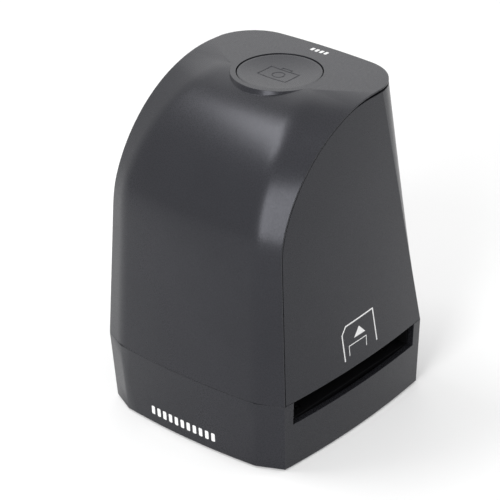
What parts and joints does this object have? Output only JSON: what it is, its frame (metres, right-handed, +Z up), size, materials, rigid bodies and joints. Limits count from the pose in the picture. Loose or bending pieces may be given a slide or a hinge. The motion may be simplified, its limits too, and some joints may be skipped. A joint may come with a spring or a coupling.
{
  "type": "film negative scanner",
  "caption": "Desktop film scanner: a low base with a film slot right through it, a tall body with a curved hood, and a round press button on top.",
  "frame": {"origin": "centre of the footprint, on the plane the rubber feet stand on", "axes": "+Z up; -Y is the front with the tall hood; X runs along the film slot"},
  "size_m": [0.0902, 0.0964, 0.1325],
  "materials": {
    "case_plastic": "fine grain, satin",
    "black_plastic": "matte",
    "white_plastic": "matte",
    "diffuser": "translucent, frosted",
    "circuit_board": "solder mask, satin",
    "lamp": "clear over a pale phosphor",
    "chip_black": "moulded, matte",
    "sensor_glass": "glass-faced package",
    "filter_glass": "coated",
    "lens_glass": "coated, polished",
    "plated_metal": "tin plated",
    "steel": "zinc plated",
    "ribbon": "flat cable",
    "lead": "wire sleeve",
    "foot_rubber": "matte"
  },
  "bodies": {
    "housing": {"front_hood": "case_plastic", "body_shell": "case_plastic", "base_tray": "case_plastic", "button_carrier": "black_plastic", "carrier_screws": "steel", "button_spring": "steel", "switch_board": "circuit_board", "switch_body": "black_plastic", "switch_screws": "steel", "hood_screws": "steel", "case_screws": "steel", "film_channel": "black_plastic", "channel_screws": "steel", "detent_cap": "black_plastic", "detent_spring": "steel", "film_guide_upper": "black_plastic", "light_box": "white_plastic", "diffuser_plate": "diffuser", "led_board": "circuit_board", "leds": "lamp", "led_resistors": "chip_black", "optics_frame": "black_plastic", "frame_screws": "steel", "sensor_board": "circuit_board", "sensor_board_screws": "steel", "image_sensor": "sensor_glass", "lens_holder": "black_plastic", "infrared_filter": "filter_glass", "lens_barrel": "black_plastic", "front_lens": "lens_glass", "rear_lens": "lens_glass", "main_board": "circuit_board", "main_board_screws": "steel", "controller_chip": "chip_black", "memory_chip": "chip_black", "crystal_can": "plated_metal", "capacitors": "plated_metal", "usb_socket": "plated_metal", "usb_tongue": "black_plastic", "ribbon_connectors": "white_plastic", "ribbon_cable": "ribbon", "lead_connectors": "white_plastic", "switch_lead": "lead", "led_lead": "lead", "rubber_feet": "foot_rubber"},
    "button": {"copy_button": "case_plastic"},
    "plunger": {"switch_plunger": "black_plastic"},
    "detent": {"film_detent": "steel"}
  },
  "joints": [
    {"name": "button_press", "type": "slide", "parent": "housing", "child": "button", "axis": [0, 0, -1], "range_m": [0, 0.0006], "stiffness_N_per_m": 900, "springref_m": -0.0012, "deforming": ["button_spring"]},
    {"name": "switch_plunger_press", "type": "slide", "parent": "housing", "child": "plunger", "axis": [0, 0, -1], "range_m": [0, 0.0006]},
    {"name": "film_detent_click", "type": "slide", "parent": "housing", "child": "detent", "axis": [0, 0, -1], "range_m": [0, 0.0005], "stiffness_N_per_m": 400, "springref_m": -0.0005, "deforming": ["detent_spring"]}
  ],
  "couplings": [
    {"joint": "switch_plunger_press", "follows": "button_press", "ratio": 1}
  ]
}
